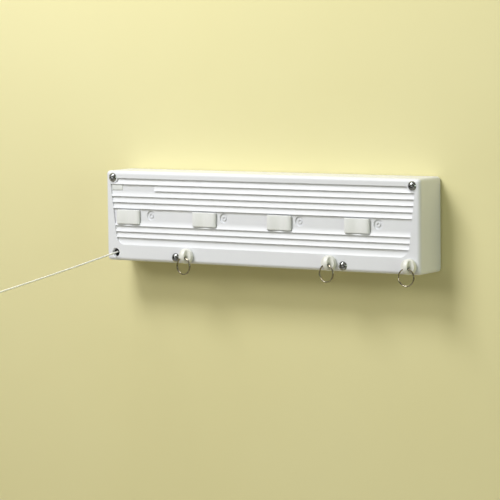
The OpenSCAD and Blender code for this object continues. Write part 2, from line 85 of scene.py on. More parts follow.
# The line leaves its reel from the third turn, counted from the back
LINE_DEPTH = LINE_BACK + 2.5 * TURN_PITCH
GUIDE_DEPTH = LINE_DEPTH + GUIDE_R
OUTLET_FAR = math.hypot(OUTLET_DX, OUTLET_UP)
# Radius at which the line leaves the reel, one line and its room out from the wound line's own radius
LEAVE_R = WOUND_R + LINE_D + LOOSE
GUIDE_LEAN = math.atan2(OUTLET_DX, -OUTLET_UP) - math.asin(LEAVE_R / OUTLET_FAR)
TANGENT_LEN = math.sqrt(OUTLET_FAR**2 - LEAVE_R**2)
GUIDE_EXIT = GUIDE_DEPTH - GUIDE_R * math.sin(LINE_DIP)
GUIDE_UP = (CASE_DEPTH - GUIDE_EXIT) * math.tan(LINE_DIP) + GUIDE_R * math.cos(LINE_DIP)
# The line inside ends 2 mm behind the front of the case, where the line outside takes over
RUN_END = CASE_DEPTH - 2.0
STUB_BACK, STUB_FRONT = 43.4, 48.6

# The first line's route outside the case, from its outlet: (out from the case, up)
ROUTE = [(-1.6, 0.2), (20, -2.6), (60, -7.6), (110, -13.6), (160, -19.3), (210, -24.8), (250, -29)]
ROUTE_STEPS = 8

# Spacing of the points along a drawn line, a line in its stopper and a line inside the case, in metres
DRAWN_STEP, STUB_STEP, INSIDE_STEP = 0.0006, 0.0003, 0.0008

# How far each split ring has turned about its upright; the angle where its coils cross and its step per ring
RING_TURN = {1: 0.0, 2: math.radians(8), 3: math.radians(8), 4: 0.0}
RING_CROSS, RING_CROSS_STEP = -0.9, -0.5
# How much less than the wire's thickness each coil takes along the ring's axis, in millimetres
RING_FLAT = 0.1

# Dish, round ends, edge rounding and stem of a thumb pad, in millimetres
PAD_T, PAD_DISH, PAD_LAND, PAD_END, PAD_EDGE = 2.8, 1.5, 4.5, 4.4, 0.8
# How far a pad's end falls, as a share of its thickness
PAD_END_FALL = 0.86
STEM_HALF_W, STEM_HALF_H, STEM_IN, STEM_EDGE = 3.5, 3.0, 0.6, 0.3
# Edge rounding of the plaque
LABEL_EDGE = 0.35

# Cover screws: head radius and height, shank radius, thread pitch, bottom pair's distance from the middle
COVER_HEAD_R, COVER_HEAD_T, COVER_SHANK_R, COVER_PITCH, LOW_SCREW_X = 5.1, 2.9, 1.98, 1.6, 106.4
# Reel screws: head radius and height, shank radius and thread pitch
REEL_HEAD_R, REEL_HEAD_T, REEL_SHANK_R, REEL_THREAD = 3.0, 1.7, 1.23, 1.0
# How far a screw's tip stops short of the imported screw's own end
TIP_ROOM = 0.05
SCREW_CREASE, SPRING_CREASE = math.radians(50), math.radians(40)
# Cross recess, as shares of the head's radius and height: an arm's half width and length, the depth
ARM_HALF_W, ARM_LEN, RECESS_DEPTH = 0.15, 0.64, 0.62

# Mainspring: inner and outer radius, turns, back, width and thickness
SPRING = (5.35, 17.0, 7, 10.4, 11.0, 0.45)

# Room between the wound line and its flanges, and between it and the drum
FLANGE_ROOM, DRUM_ROOM = 0.15, 0.02

# Studio, in metres: the wall stands just behind the case, and its opening is a little smaller than the case
WALL_Y, FLOOR_Z, WALL_TOP, WALL_SIDE, FLOOR_FRONT = 0.0006, -1.2, 3, 6, -8
OPENING_X, OPENING_Z = 0.193, 0.044
CAMERA_PLACE = (1.4368, -2.3013, 0.20968)
CAMERA_RIGHT, CAMERA_FORWARD = (0.84245, 0.53867, -0.01088), (-0.53733, 0.83855, -0.09007)
LAMP_AIM = (0, -0.02, 0)

# Grains to the metre in the moulded finish
CLOUDS, SPECKS, GLOSS_DRIFT, FLOW = 14.0, 900.0, 60.0, 160.0


# ---- surfaces ----


def row(points):
    """[across, up, depth] points in millimetres as [x, y, z] in the model's frame, in metres."""
    p = np.asarray(points, float)
    return np.stack([p[..., 0], -p[..., 2], p[..., 1]], -1) * MM


def quads(rows, columns, round_rows=False, round_columns=True):
    """Four-cornered faces between neighbouring points of a grid, which may close on itself either way."""
    r = np.arange(rows if round_rows else rows - 1)[:, None]
    c = np.arange(columns if round_columns else columns - 1)[None, :]
    r1, c1 = (r + 1) % rows, (c + 1) % columns
    corners = [r * columns + c, r * columns + c1, r1 * columns + c1, r1 * columns + c]
    return np.stack([np.broadcast_to(k, (r.size, c.size)) for k in corners], -1).reshape(-1, 4)


def capped(grid):
    """A tube of rings (n, m, 3) as points and faces, with a fan of triangles closing each end."""
    n, m = grid.shape[:2]
    ends = np.stack([grid[0].mean(0), grid[-1].mean(0)])
    points = np.concatenate([grid.reshape(-1, 3), ends])
    j = np.arange(m)
    near = np.stack([np.full(m, n * m), (j + 1) % m, j], -1)
    far = np.stack([np.full(m, n * m + 1), (n - 1) * m + j, (n - 1) * m + (j + 1) % m], -1)
    return points, [quads(n, m), near, far]


def joined(*shells):
    """Several closed shells as one list of points and faces."""
    points, faces, start = [], [], 0
    for p, groups in shells:
        points.append(p)
        faces += [g + start for g in groups]
        start += len(p)
    return np.concatenate(points), faces


def new_piece(name, shell, finish, crease=None):
    """A mesh of points and faces that point outwards, smooth except at edges sharper than crease."""
    points, groups = shell
    mesh = bpy.data.meshes.new(name)
    mesh.from_pydata(points.tolist(), [], [f for g in groups for f in g.tolist()])
    shaped = bmesh.new()
    shaped.from_mesh(mesh)
    bmesh.ops.recalc_face_normals(shaped, faces=shaped.faces)
    shaped.to_mesh(mesh)
    shaped.free()
    if crease is None:
        mesh.shade_smooth()
    else:
        mesh.set_sharp_from_angle(angle=crease)
    mesh.materials.append(finish)
    piece = bpy.data.objects.new(name, mesh)
    bpy.context.scene.collection.objects.link(piece)
    return piece


def stands_for(piece, node, body):
    """The piece rides on the node's body and is shown in its place, the node being hidden."""
    if body is not None:
        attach(piece, body)
    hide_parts(node)
    return piece


def spaced_path(path, step):
    """The same path with points at even steps along its length."""
    path = np.asarray(path, float)
    s = np.concatenate([[0], np.cumsum(np.linalg.norm(np.diff(path, axis=0), axis=1))])
    even = np.linspace(0, s[-1], max(3, int(round(s[-1] / step)) + 1))
    return np.stack([np.interp(even, s, path[:, k]) for k in range(3)], -1)


def twisted_line(path, across, radius, pitch, strands, groove, sides=20):
    """A laid line along a path that stays in one plane, whose normal is across.

    At angle a and length s the radius is radius (1 - groove (1 - |cos(strands / 2 (a - 2 pi s / pitch))|)),
    so the strands go round the line once in every pitch.
    """
    along = np.gradient(path, axis=0)
    along /= np.linalg.norm(along, axis=1)[:, None]
    across = np.asarray(across, float)
    up = np.cross(along, across)
    s = np.concatenate([[0], np.cumsum(np.linalg.norm(np.diff(path, axis=0), axis=1))])
    a = np.linspace(0, 2 * math.pi, sides, endpoint=False)
    turn = a[None, :] - 2 * math.pi * s[:, None] / pitch
    r = radius * (1 - groove * (1 - np.abs(np.cos(strands / 2 * turn))))
    ring = np.cos(a)[None, :, None] * across + np.sin(a)[None, :, None] * up[:, None, :]
    return capped(path[:, None, :] + r[..., None] * ring)


def route_path():
    """The first line's smooth route: a Catmull-Rom curve through the route's points."""
    knots = np.array([ROUTE[0], *ROUTE, ROUTE[-1]], float)
    t = np.arange(ROUTE_STEPS)[:, None] / ROUTE_STEPS
    p = [
        0.5
        * (
            2 * b
            + (c - a) * t
            + (2 * a - 5 * b + 4 * c - d) * t**2
            + (3 * b - a - 3 * c + d) * t**3
        )
        for a, b, c, d in zip(knots, knots[1:], knots[2:], knots[3:])
    ]
    flat = np.concatenate([*p, knots[-1:]])
    across = np.full(len(flat), OUTLET_X[0])
    return row(np.stack([across, OUTLET_UP + flat[:, 1], CASE_DEPTH + flat[:, 0]], -1))


def guide_frame(i, u, v, depth):
    """A point of guide i's own frame, leaning along the line to the reel, in the model's frame."""
    x = u * math.cos(GUIDE_LEAN) + v * math.sin(GUIDE_LEAN)
    y = v * math.cos(GUIDE_LEAN) - u * math.sin(GUIDE_LEAN)
    return row(np.stack([OUTLET_X[i] - SIDE[i] * x, OUTLET_UP + y, depth], -1))


def inside_path(i):
    """The line from its reel down to the roller, round it and forwards to the outlet."""
    a = np.linspace(0, math.pi / 2 - LINE_DIP, 24)
    v = np.concatenate(
        [[TANGENT_LEN], GUIDE_UP - GUIDE_R * np.sin(a), [(CASE_DEPTH - RUN_END) * math.tan(LINE_DIP)]]
    )
    depth = np.concatenate([[LINE_DEPTH], GUIDE_DEPTH - GUIDE_R * np.cos(a), [RUN_END]])
    return guide_frame(i, np.zeros_like(v), v, depth)


def wound_line_shell(i, line_r, rounds=144, across=49):
    """Line wound on a reel: a ring whose outside is a helix of half-round turns.

    At angle a and width w the radius is the pack's own plus sqrt(line_r^2 - d^2), where d is the distance
    to the nearest turn, (w / pitch - a / 2 pi) taken to its nearest half.
    """
    a = np.linspace(0, 2 * math.pi, rounds, endpoint=False)[:, None]
    w = np.linspace(0, 1, across)[None, :] * (LINE_ROOM - 2 * FLANGE_ROOM) + FLANGE_ROOM
    phase = (w / TURN_PITCH - a / (2 * math.pi)) % 1.0 - 0.5
    bump = np.sqrt(np.maximum(line_r**2 - (phase * TURN_PITCH) ** 2, 0.01))
    outer = WOUND_R - 0.1 + bump
    drum = np.full((rounds, 1), DRUM_R + DRUM_ROOM)
    r = np.concatenate([drum, outer, drum], 1)
    d = np.concatenate([w[:, :1], w, w[:, -1:]], 1) + LINE_BACK
    d = np.broadcast_to(d, r.shape)
    grid = np.stack([REEL_X[i] + r * np.cos(a), r * np.sin(a), d], -1)
    return row(grid.reshape(-1, 3)), [quads(rounds, across + 2, True, True)]


def split_ring_shell(centre, radius, wire, gap, cross_at, turn, cross_half=0.3, steps=220, sides=14):
    """Two close coils of wire that cross over once, on an axis along Y.

    Over angle a the wire keeps its radius, and its depth steps from -gap / 2 to gap / 2 by a smooth step
    round the middle of its length. Its section is a rounded square. The ring is turned about its upright.
    """
    a = np.linspace(cross_half, 4 * math.pi - cross_half, steps)
    taper = 0.4 * wire
    t = np.clip((a - 2 * math.pi + cross_half) / (2 * cross_half), 0, 1)
    depth = gap * (t * t * (3 - 2 * t) - 0.5)
    b = np.linspace(0, 2 * math.pi, sides, endpoint=False)
    soft = (np.abs(np.cos(b)) ** 3 + np.abs(np.sin(b)) ** 3) ** (-1 / 3)
    end = np.sqrt(np.clip(np.minimum(a - a[0], a[-1] - a) * radius / taper, 0.05, 1))
    out = radius + wire / 2 * end[:, None] * (soft * np.cos(b))[None, :]
    off = depth[:, None] + gap / 2 * end[:, None] * (soft * np.sin(b))[None, :]
    at = (a + cross_at)[:, None]
    flat = out * np.cos(at)
    across = flat * math.cos(turn) - off * math.sin(turn)
    forwards = flat * math.sin(turn) + off * math.cos(turn)
    grid = np.stack([across, out * np.sin(at), forwards], -1)
    return capped(row(grid + np.asarray(centre)))


def screw_shell(x, up, seat, head_r, head_t, shank_r, shank_len, pitch, around=96):
    """A cross-recessed screw: a profile turned round its axis.

    Over the head the height is a dome less the recess, whose depth falls from the middle to the ends of
    four arms. The shank's radius is its core plus a triangle wave of (depth / pitch - angle / 2 pi).
    """
    a = np.linspace(0, 2 * math.pi, around, endpoint=False)[None, :]
    dome = (head_r**2 + head_t**2) / (2 * head_t)
    r = head_r * np.linspace(0.02, 1, 44)[:, None]
    x1, y1 = np.abs(r * np.cos(a - math.pi / 4)), np.abs(r * np.sin(a - math.pi / 4))
    arm = np.maximum(np.minimum(x1, y1) / (ARM_HALF_W * head_r), np.maximum(x1, y1) / (ARM_LEN * head_r))
    wall = np.clip((1.12 - arm) / 0.3, 0, 1)
    deep = RECESS_DEPTH * head_t * (1.15 - np.maximum(x1, y1) / (0.9 * head_r))
    height = np.sqrt(dome**2 - r**2) - dome + head_t - wall * wall * (3 - 2 * wall) * np.maximum(deep, 0)
    head_rings = np.broadcast_to(r, height.shape)
    depth_down = np.linspace(0, shank_len - 2 * shank_r, int(shank_len / pitch * 8))[:, None]
    wave = np.abs((depth_down / pitch - a / (2 * math.pi)) % 1.0 - 0.5) * 2
    start = np.clip(depth_down / 4, 0, 1)
    shank = shank_r * (0.76 + 0.23 * start * np.clip(1.6 * wave - 0.6, 0, 1))
    tip_r = shank_r * np.linspace(0.74, 0.05, 6)[:, None] + 0 * a
    tip_d = -(shank_len - 2 * shank_r) - np.linspace(0.2, 2 * shank_r, 6)[:, None] + 0 * a
    lip = np.array([[1.0, -0.02], [0.96, -0.05]])
    lip_r = head_r * lip[:, :1] + 0 * a
    lip_d = lip[:, 1:] + 0 * a
    radii = np.concatenate([head_rings, lip_r, shank, tip_r])
    depths = np.concatenate([height, lip_d, -depth_down - 0.06 + 0 * a, tip_d])
    grid = np.stack([x + radii * np.cos(a), up + radii * np.sin(a), seat + depths], -1)
    return capped(row(grid))


def rounded_loft(half_w, half_h, back, front, edge, stations=61, corner=7):
    """A block whose ends, corners and front edges are round, as closed sections carried along X.

    back and front give the depth of the two faces at a place across. Within edge of an end each section
    shrinks by edge - sqrt(edge^2 - t^2), where t is how far it lies past the start of the rounding.
    """
    s = np.sin(np.linspace(-math.pi / 2, math.pi / 2, stations))
    x = half_w * s
    t = np.clip(np.abs(x) - (half_w - edge), 0, edge)
    e = edge - np.sqrt(np.maximum(edge**2 - t**2, 0.0))
    lo, hi = back(x) + 0.3 * e, front(x) - e
    q = np.linspace(0, math.pi / 2, corner)
    radius = np.minimum(edge, np.maximum(hi - lo, 0.05) / 2)
    sections = []
    for up_sign, out_sign, turn in [(1, 1, q), (-1, 1, q[::-1]), (-1, -1, q), (1, -1, q[::-1])]:
        r = radius if out_sign > 0 else 0.5 * radius
        up = up_sign * (half_h - e - r)[:, None] + up_sign * r[:, None] * np.cos(turn)
        mid = (hi - r)[:, None] if out_sign > 0 else (lo + r)[:, None]
        sections.append(np.stack([up, mid + out_sign * r[:, None] * np.sin(turn)], -1))
    ring = np.concatenate(sections, 1)
    return np.concatenate([np.broadcast_to(x[:, None, None], (*ring.shape[:2], 1)), ring], -1)


def pad_hollow(x, half_w):
    """How far a thumb pad's front lies under its highest point: a cosine dish, and ends that curve down.

    The dish is dish (1 + cos(pi x / reach)) / 2 out to its reach. Over the last stretch the end falls by
    fall (1 - sqrt(1 - u^2)), where u runs from 0 to 1 towards the end.
    """
    reach = half_w - PAD_LAND
    dish = PAD_DISH * 0.5 * (1 + np.cos(math.pi * np.clip(np.abs(x) / reach, 0, 1)))
    u = np.clip((np.abs(x) - half_w + PAD_END) / PAD_END, 0, 1)
    return dish + PAD_END_FALL * PAD_T * (1 - np.sqrt(1 - u**2))


def mainspring_shell(i, inner, outer, turns, back, width, thick, per_turn=72):
    """A flat spring: a strip whose radius grows evenly with the angle, carried from back over its width."""
    a = np.linspace(0, 2 * math.pi * turns, turns * per_turn + 1)
    r = inner + (outer - inner) * a / a[-1]
    hook = np.clip(a / 0.6, 0, 1)
    r = r - 0.25 * (1 - hook)
    grid = []
    for grow, depth in [(0, 0), (thick, 0), (thick, width), (0, width)]:
        edge = r + grow
        grid.append(np.stack([REEL_X[i] + edge * np.cos(a), edge * np.sin(a), back + depth + 0 * a], -1))
    return capped(row(np.stack(grid, 1)))


def moulded_copy(node, name, finish, voxel, rounds):
    """A copy of a CAD node, merged, made again on an even grid and eased, so that its edges look moulded."""
    copy = bmesh.new()
    copy.from_mesh(NODES[node].data)
    bmesh.ops.remove_doubles(copy, verts=copy.verts, dist=1e-6)
    rough = bpy.data.meshes.new(name + "_rough")
    copy.to_mesh(rough)
    copy.free()
    source = bpy.data.objects.new(name + "_rough", rough)
    bpy.context.scene.collection.objects.link(source)
    remesh = source.modifiers.new("even grid", "REMESH")
    remesh.mode = "VOXEL"
    remesh.voxel_size = voxel
    ease = source.modifiers.new("eased edges", "SMOOTH")
    ease.factor = 0.5
    ease.iterations = rounds
    made = bpy.data.meshes.new_from_object(source.evaluated_get(bpy.context.evaluated_depsgraph_get()))
    made.name = name
    bpy.data.objects.remove(source)
    bpy.data.meshes.remove(rough)
    made.materials.clear()
    made.materials.append(finish)
    made.shade_smooth()
    piece = bpy.data.objects.new(name, made)
    bpy.context.scene.collection.objects.link(piece)
    return piece


# ---- finishes ----


class Finish:
    """A procedural material on Object coordinates, built from a few steps."""

    def __init__(self, name, **constants):
        self.material = bpy.data.materials.new(name)
        self.material.use_nodes = True
        self.tree = self.material.node_tree
        self.shader = self.tree.nodes["Principled BSDF"]
        self.coords = self.tree.nodes.new("ShaderNodeTexCoord").outputs["Object"]
        self.normal = None
        for socket, value in constants.items():
            self.shader.inputs[socket.replace("_", " ")].default_value = value

    def add(self, kind, **inputs):
        node = self.tree.nodes.new(kind)
        for socket, value in inputs.items():
            target = node.inputs[socket.replace("_", " ")]
            if isinstance(value, bpy.types.NodeSocket):
                self.tree.links.new(value, target)
            else:
                target.default_value = value
        return node

    def noise(self, scale, detail=2.0, stretch=None):
        """Noise of that many grains to the metre, drawn out where stretch is small."""
        coords = self.coords
        if stretch is not None:
            coords = self.add("ShaderNodeMapping", Vector=coords, Scale=stretch).outputs["Vector"]
        return self.add("ShaderNodeTexNoise", Vector=coords, Scale=scale, Detail=detail).outputs["Fac"]

    def span(self, value, low, high, to_low, to_high):
        """The value's range from low to high, spread over another range."""
        node = self.add("ShaderNodeMapRange", Value=value)
        for socket, number in zip(("From Min", "From Max", "To Min", "To Max"), (low, high, to_low, to_high)):
            node.inputs[socket].default_value = number
        return node.outputs["Result"]

    def blend(self, share, first, second):
        """First where share is 0 and second where it is 1."""
        node = self.tree.nodes.new("ShaderNodeMix")
        node.data_type = "RGBA"
        self.tree.links.new(share, node.inputs["Factor"])
        for socket, value in (("A", first), ("B", second)):
            target = [s for s in node.inputs if s.name == socket and s.type == "RGBA"][0]
            if isinstance(value, bpy.types.NodeSocket):
                self.tree.links.new(value, target)
            else:
                target.default_value = (*value[:3], 1.0)
        return [s for s in node.outputs if s.type == "RGBA"][0]

    def to(self, socket, value):
        self.tree.links.new(value, self.shader.inputs[socket])

    def relief(self, height, depth, strength=1.0):
        """Raises the surface by depth metres where height is 1."""
        node = self.add("ShaderNodeBump", Height=height, Strength=strength, Distance=depth)
        if self.normal is not None:
            self.tree.links.new(self.normal, node.inputs["Normal"])
        self.normal = node.outputs["Normal"]
        self.tree.links.new(self.normal, self.shader.inputs["Normal"])


def moulded_finish(name, colour, shade, gloss, grain=2600.0, depth=0.00002, **constants):
    """Moulded plastic: slow clouds of shade, gloss that wanders, fine flow lines along X and a grain."""
    f = Finish(name, **constants)
    clouds = f.span(f.noise(CLOUDS, 4.0), 0.35, 0.7, 0.0, 1.0)
    specks = f.span(f.noise(SPECKS, 3.0), 0.62, 0.8, 0.0, 0.25)
    f.to("Base Color", f.blend(specks, f.blend(clouds, colour, shade), tuple(0.82 * c for c in shade[:3])))
    f.to("Roughness", f.span(f.noise(GLOSS_DRIFT, 5.0), 0.3, 0.7, gloss - 0.06, gloss + 0.08))
    f.relief(f.noise(FLOW, 2.0, (0.15, 1.0, 1.0)), 0.00004, 0.25)
    f.relief(f.noise(grain, 2.0), depth, 0.5)
    return f.material


def metal_finish(name, colour, tarnish, rough, grain, stretch, depth=0.000012):
    """Worked metal: drawn grain, patches of tarnish and a gloss that follows the grain."""
    f = Finish(name, Metallic=1.0)
    patches = f.span(f.noise(220.0, 5.0), 0.4, 0.72, 0.0, 1.0)
    lines = f.noise(grain, 3.0, stretch)
    f.to("Base Color", f.blend(patches, colour, tarnish))
    f.to("Roughness", f.span(lines, 0.3, 0.7, rough * 0.7, rough * 1.5))
    f.relief(lines, depth, 0.5)
    return f.material


def line_finish(name, colour, shade):
    """Plastic-coated line: soft gloss, fine filaments and a little grey where it is handled."""
    f = Finish(name, Sheen_Weight=0.15)
    worn = f.span(f.noise(90.0, 4.0), 0.45, 0.75, 0.0, 1.0)
    fibres = f.noise(5200.0, 3.0)
    f.to("Base Color", f.blend(worn, colour, shade))
    f.to("Roughness", f.span(fibres, 0.3, 0.7, 0.42, 0.62))
    f.relief(fibres, 0.00003, 0.5)
    return f.material


def wall_finish(name, colour, shade, rolled):
    """Painted wall or floor, seen from its face only, so that it hides nothing behind it."""
    f = Finish(name, Roughness=0.85, Specular_IOR_Level=0.2)
    f.to("Base Color", f.blend(f.span(f.noise(2.2, 3.0), 0.35, 0.65, 0.0, 1.0), colour, shade))
    f.relief(f.noise(rolled, 4.0), 0.0002, 0.15)
    out = f.tree.nodes["Material Output"]
    facing = f.tree.nodes.new("ShaderNodeNewGeometry").outputs["Backfacing"]
    mix = f.tree.nodes.new("ShaderNodeMixShader")
    clear = f.tree.nodes.new("ShaderNodeBsdfTransparent")
    f.tree.links.new(facing, mix.inputs[0])
    f.tree.links.new(f.shader.outputs[0], mix.inputs[1])
    f.tree.links.new(clear.outputs[0], mix.inputs[2])
    f.tree.links.new(mix.outputs[0], out.inputs["Surface"])
    return f.material


FINISHES = {}


def finish(key):
    """Each finish is made once, when the first piece asks for it."""
    if key not in FINISHES:
        s = bpy.context.scene.clothesline_finish
        makers = {
            "case": lambda: moulded_finish("case white plastic", s.case_colour, s.case_shade, s.case_gloss),
            "pad": lambda: moulded_finish("pad ivory plastic", s.pad_colour, s.pad_shade, 0.38),
            "stopper": lambda: moulded_finish("stopper plastic", s.stopper_colour, s.stopper_shade, 0.34),
            "reel": lambda: moulded_finish("reel plastic", (0.72, 0.73, 0.72), (0.62, 0.63, 0.61), 0.45),
            "inner": lambda: moulded_finish("inner plastic", (0.6, 0.61, 0.58), (0.5, 0.51, 0.49), 0.5),
            "label": lambda: moulded_finish("label plastic", (0.77, 0.79, 0.79), (0.74, 0.76, 0.76), 0.42),
            "line": lambda: line_finish("white line", s.line_colour, s.line_shade),
            "chrome": lambda: metal_finish(
                "plated screw", (0.4, 0.41, 0.42), (0.2, 0.2, 0.2), 0.09, 1800.0, (1.0, 1.0, 1.0)
            ),
            "zinc": lambda: metal_finish(
                "zinc-plated steel", (0.62, 0.63, 0.64), (0.46, 0.47, 0.46), 0.32, 900.0, (1.0, 0.2, 1.0)
            ),
            "ring": lambda: metal_finish(
                "nickel-plated wire", (0.46, 0.42, 0.34), (0.2, 0.17, 0.12), 0.15, 2400.0, (1.0, 1.0, 0.3)
            ),
            "spring": lambda: metal_finish(
                "blued spring steel", (0.2, 0.23, 0.32), (0.3, 0.22, 0.14), 0.3, 1500.0, (1.0, 0.1, 1.0)
            ),
        }
        FINISHES[key] = makers[key]()
    return FINISHES[key]


# ---- settings ----


def colour(name, default, description):
    return FloatVectorProperty(
        name=name, description=description, default=default, subtype="COLOR", min=0.0, max=1.0
    )


def length(name, default, description):
    return FloatProperty(
        name=name, description=description, default=default, min=0.0, unit="LENGTH", precision=5
    )


def power(name, default, description):
    return FloatProperty(name=name, description=description, default=default, min=0.0, unit="POWER")


class ClotheslineFinish(bpy.types.PropertyGroup):
    """Colours and gloss of the mouldings and the line"""

    case_colour: colour("Case", (0.79, 0.8, 0.845), "Colour of the case's plastic")
    case_shade: colour("Case shade", (0.765, 0.775, 0.82), "Colour the case drifts towards")
    case_gloss: FloatProperty(
        name="Case roughness", description="Roughness of the case's plastic", default=0.36, min=0.05, max=1.0
    )
    pad_colour: colour("Pads", (0.82, 0.83, 0.835), "Colour of the thumb pads")
    pad_shade: colour("Pad shade", (0.79, 0.8, 0.8), "Colour the pads drift towards")
    stopper_colour: colour("Stoppers", (0.83, 0.83, 0.79), "Colour of the stoppers")
    stopper_shade: colour("Stopper shade", (0.79, 0.785, 0.74), "Colour the stoppers drift towards")
    line_colour: colour("Line", (0.93, 0.92, 0.88), "Colour of the line")
    line_shade: colour("Worn line", (0.86, 0.85, 0.8), "Colour of the line where it is handled")


class ClotheslineSizes(bpy.types.PropertyGroup):
    """Sizes of the line, the rings and the moulded edges"""

    line_radius: length("Line radius", 0.001, "Radius of the line")
    line_pitch: length("Lay", 0.0052, "Length of line in which its strands go round once")
    line_strands: IntProperty(name="Strands", description="Strands in the line", default=3, min=2, max=8)
    line_groove: FloatProperty(
        name="Groove", description="Depth between strands over radius", default=0.1, min=0.0, max=0.4
    )
    ring_wire: length("Ring wire", 0.0011, "Thickness of a split ring's wire")
    moulded_voxel: length("Moulding grid", 0.00028, "Grid that the stoppers' soft edges are made on")


class ClotheslineStudio(bpy.types.PropertyGroup):
    """Wall, floor and lights"""

    wall_colour: colour("Wall", (0.785, 0.73, 0.42), "Colour of the wall")
    wall_shade: colour("Wall shade", (0.765, 0.705, 0.39), "Colour the wall drifts towards")
    floor_colour: colour("Floor", (0.62, 0.6, 0.55), "Colour of the floor")
    key_power: power("Key light", 14.0, "Power of the light above")
    fill_power: power("Fill light", 26.0, "Power of the front light")
    side_power: power("Side light", 6.5, "Power of the light at the right")


# ---- pieces ----


class CLOTHESLINE_OT_studio(bpy.types.Operator):
    """Camera, wall, floor and soft lights"""

    bl_idname = "clothesline.studio"
    bl_label = "Studio"

    def execute(self, context):
        scene, s = context.scene, context.scene.clothesline_studio
        camera = bpy.data.objects.new("camera", bpy.data.cameras.new("camera"))
        scene.collection.objects.link(camera)
        camera.data.sensor_width, camera.data.lens = 36.0, 180.0
        camera.data.clip_start, camera.data.clip_end = 0.05, 60.0
        camera.data.shift_x, camera.data.shift_y = -0.0006, 0.002
        right = Vector(CAMERA_RIGHT).normalized()
        forward = Vector(CAMERA_FORWARD).normalized()
        up = right.cross(forward).normalized()
        right = forward.cross(up)
        turned = Matrix((right, up, -forward)).transposed().to_4x4()
        camera.matrix_world = Matrix.Translation(CAMERA_PLACE) @ turned
        scene.camera = camera

        wall_mat = wall_finish("painted wall", s.wall_colour, s.wall_shade, 700.0)
        floor_mat = wall_finish("pale floor", s.floor_colour, tuple(0.95 * c for c in s.floor_colour), 300.0)
        # The wall is open behind the case, so that the case's back is lit in a view from behind
        wide, x, z = WALL_SIDE, OPENING_X, OPENING_Z
        sheets = {
            "studio_wall": (
                wall_mat,
                [(-wide, WALL_Y, FLOOR_Z), (wide, WALL_Y, FLOOR_Z)]
                + [(wide, WALL_Y, WALL_TOP), (-wide, WALL_Y, WALL_TOP)]
                + [(-x, WALL_Y, -z), (x, WALL_Y, -z), (x, WALL_Y, z), (-x, WALL_Y, z)],
                [(0, 1, 5, 4), (1, 2, 6, 5), (2, 3, 7, 6), (3, 0, 4, 7)],
            ),
            "studio_floor": (
                floor_mat,
                [(-wide, FLOOR_FRONT, FLOOR_Z), (wide, FLOOR_FRONT, FLOOR_Z)]
                + [(wide, WALL_Y, FLOOR_Z), (-wide, WALL_Y, FLOOR_Z)],
                [(0, 1, 2, 3)],
            ),
        }
        for name, (material, corners, faces) in sheets.items():
            mesh = bpy.data.meshes.new(name)
            mesh.from_pydata(corners, [], faces)
            mesh.materials.append(material)
            sheet = bpy.data.objects.new(name, mesh)
            scene.collection.objects.link(sheet)

        lamps = {
            "key": ((-0.33, -0.84, 1.05), s.key_power, (0.58, 0.41), (0.975, 0.985, 1.0)),
            "fill": ((-1.2, -2.5, 1.35), s.fill_power, (1.8, 1.0), (1.0, 0.99, 0.95)),
            "side": ((2.0, -0.9, 0.3), s.side_power, (0.8, 0.8), (0.84, 1.0, 0.78)),
        }
        for name, (place, watts, (across, high), tint) in lamps.items():
            light = bpy.data.lights.new(name, "AREA")
            light.shape, light.size, light.size_y = "RECTANGLE", across, high
            light.energy, light.color = watts, tint
            lamp = bpy.data.objects.new(name, light)
            lamp.location = place
            lamp.rotation_mode = "QUATERNION"
            lamp.rotation_quaternion = (Vector(LAMP_AIM) - Vector(place)).to_track_quat("-Z", "Y")
            scene.collection.objects.link(lamp)

        world = bpy.data.worlds.new("studio light")
        scene.world = world
        world.use_nodes = True
        tree = world.node_tree
        ramp = tree.nodes.new("ShaderNodeValToRGB")
        split = tree.nodes.new("ShaderNodeSeparateXYZ")
        coords = tree.nodes.new("ShaderNodeTexCoord")
        span = tree.nodes.new("ShaderNodeMapRange")
        span.inputs["From Min"].default_value = -1.0
        tree.links.new(coords.outputs["Generated"], split.inputs[0])
        tree.links.new(split.outputs["Z"], span.inputs["Value"])
        tree.links.new(span.outputs["Result"], ramp.inputs["Fac"])
        ramp.color_ramp.elements[0].color = (0.05, 0.05, 0.03, 1)
        ramp.color_ramp.elements[0].position = 0.42
        ramp.color_ramp.elements[1].color = (1.0, 0.97, 0.82, 1)
        ramp.color_ramp.elements[1].position = 0.85
        tree.links.new(ramp.outputs["Color"], tree.nodes["Background"].inputs["Color"])
        tree.nodes["Background"].inputs["Strength"].default_value = 0.37
        scene.view_settings.view_transform = "Standard"
        return {"FINISHED"}


class CLOTHESLINE_OT_stoppers(bpy.types.Operator):
    """Round stoppers, whose edges are eased as moulded"""

    bl_idname = "clothesline.stoppers"
    bl_label = "Stoppers"

    def execute(self, context):
        voxel = context.scene.clothesline_sizes.moulded_voxel
        for unit in UNITS:
            node = f"puller_{unit}_stopper"
            piece = moulded_copy(node, f"stopper_{unit}", finish("stopper"), voxel, 5)
            stands_for(piece, node, f"puller_{unit}")
        return {"FINISHED"}


class CLOTHESLINE_OT_rings(bpy.types.Operator):
    """Split rings of two coils with their crossing"""

    bl_idname = "clothesline.rings"
    bl_label = "Split rings"

    def execute(self, context):
        wire = context.scene.clothesline_sizes.ring_wire / MM
        for unit in UNITS:
            node = f"puller_{unit}_split_ring"
            low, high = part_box(node)
            middle = (low + high) / 2 / MM
            radius = (high.x - low.x) / 2 / MM - wire / 2
            centre = (middle.x, middle.z, -middle.y)
            cross_at = RING_CROSS + RING_CROSS_STEP * unit
            shell = split_ring_shell(centre, radius, wire, wire - RING_FLAT, cross_at, RING_TURN[unit])
            stands_for(new_piece(f"split_ring_{unit}", shell, finish("ring")), node, f"ring_{unit}")
        return {"FINISHED"}


